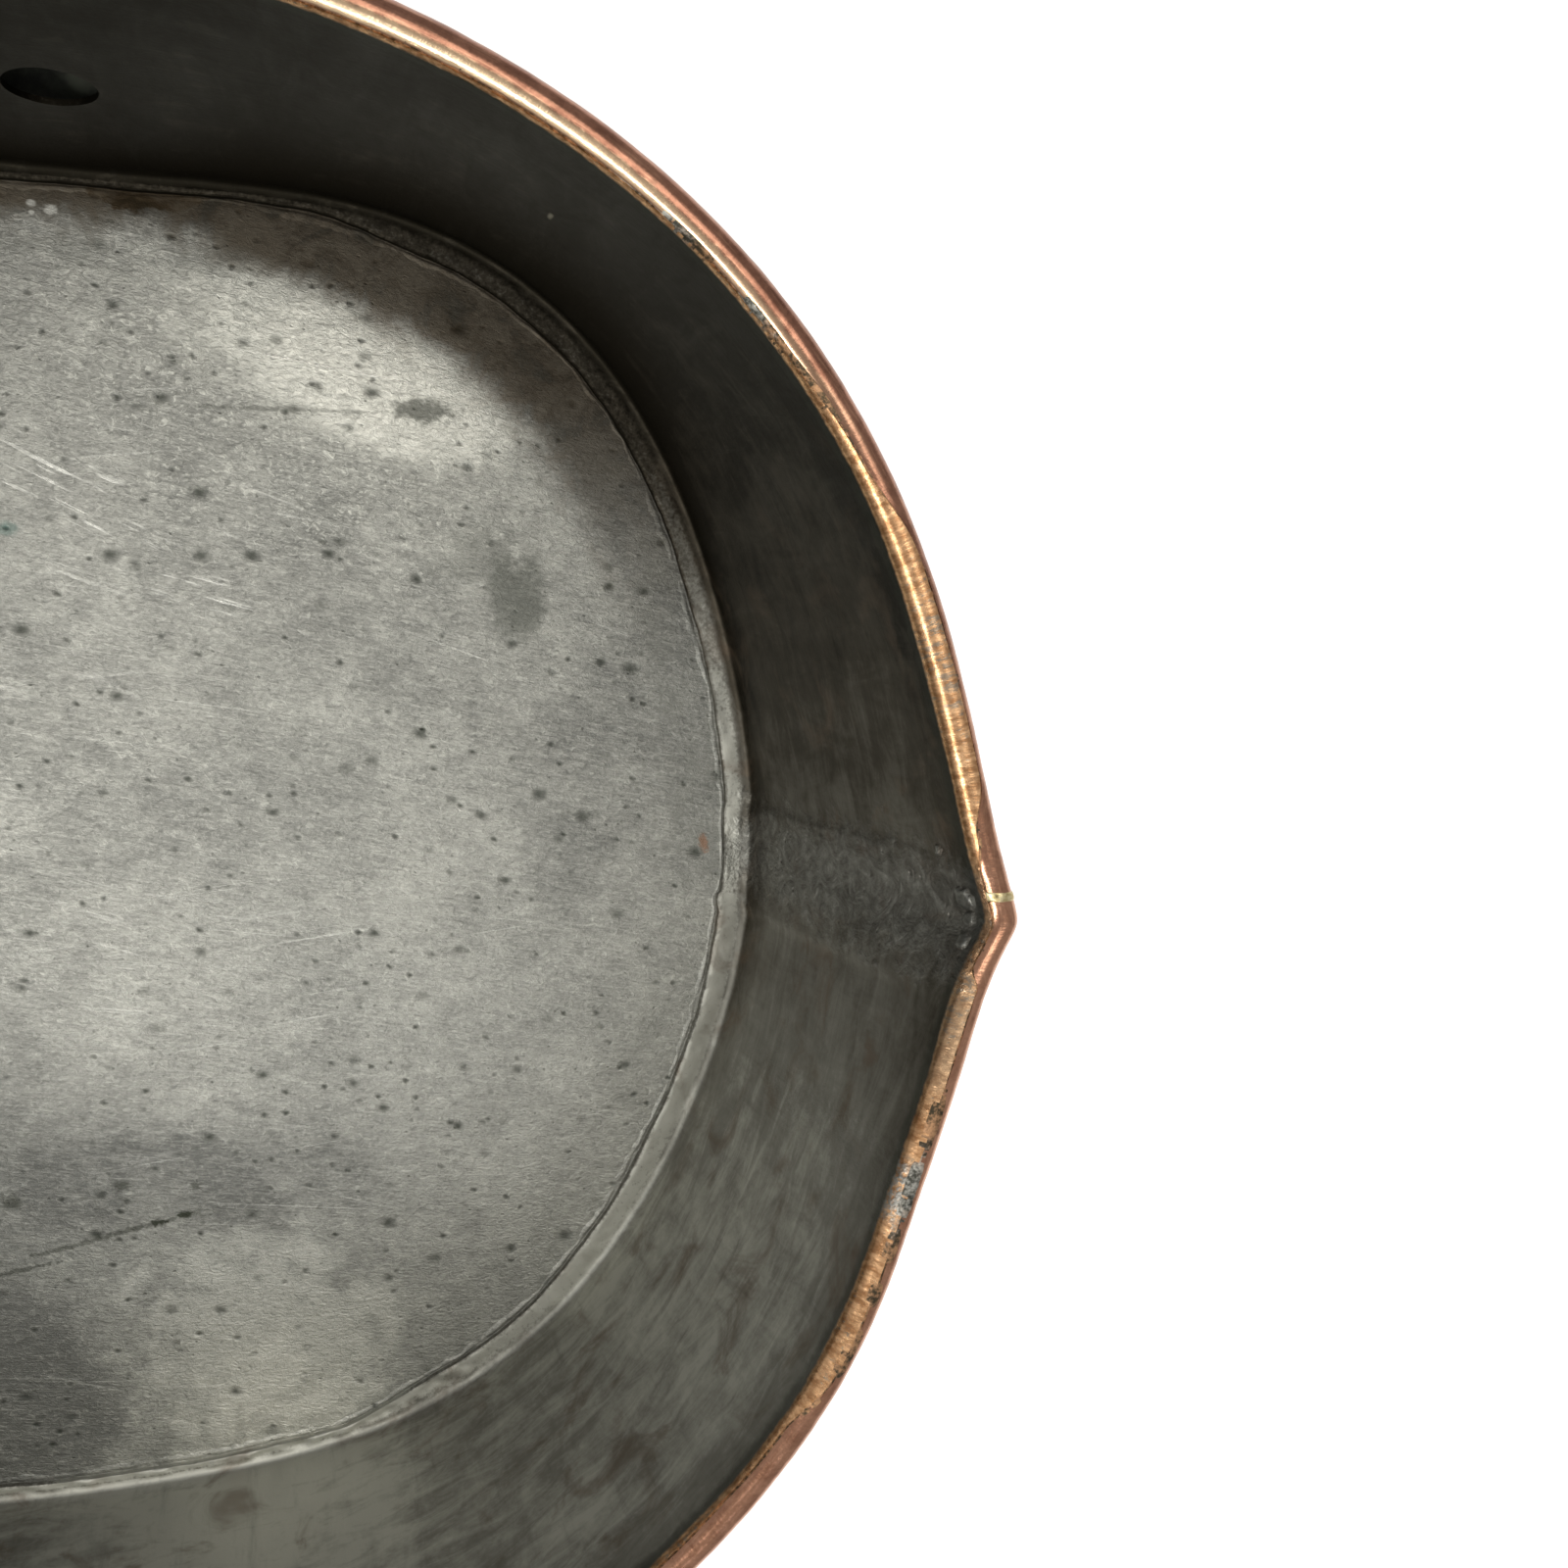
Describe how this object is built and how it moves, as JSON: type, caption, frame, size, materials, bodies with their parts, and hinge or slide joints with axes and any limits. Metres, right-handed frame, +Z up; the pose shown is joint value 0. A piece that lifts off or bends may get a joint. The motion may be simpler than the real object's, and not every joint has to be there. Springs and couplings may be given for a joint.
{
  "type": "saucepan",
  "caption": "Round shallow copper saucepan, tinned inside, with a wired rim, a pouring lip and a hollow side handle ending in a hanging eye.",
  "frame": {"origin": "centre of the pan on its resting surface", "axes": "+Z up, +X towards the pouring lip, +Y along the handle, away from the pan"},
  "size_m": [0.2566, 0.4251, 0.0777],
  "materials": {
    "tinned_copper": "worn tin, satin, scratched and pitted",
    "copper": "worn satin copper, brown where it is not rubbed",
    "solder": "dull lumpy tin solder",
    "iron_wire": "dark drawn iron",
    "brazing_brass": "satin brass"
  },
  "bodies": {
    "root": {"floor_disc": "tinned_copper", "wall": "tinned_copper", "seam_solder": "solder", "foot_solder": "solder", "rim_wire": "iron_wire", "rim_band": "copper", "rim_solder": "solder", "rim_joint": "brazing_brass", "handle_collar": "copper", "collar_braze": "brazing_brass", "handle_tube": "copper", "handle_eye": "copper"}
  },
  "joints": []
}
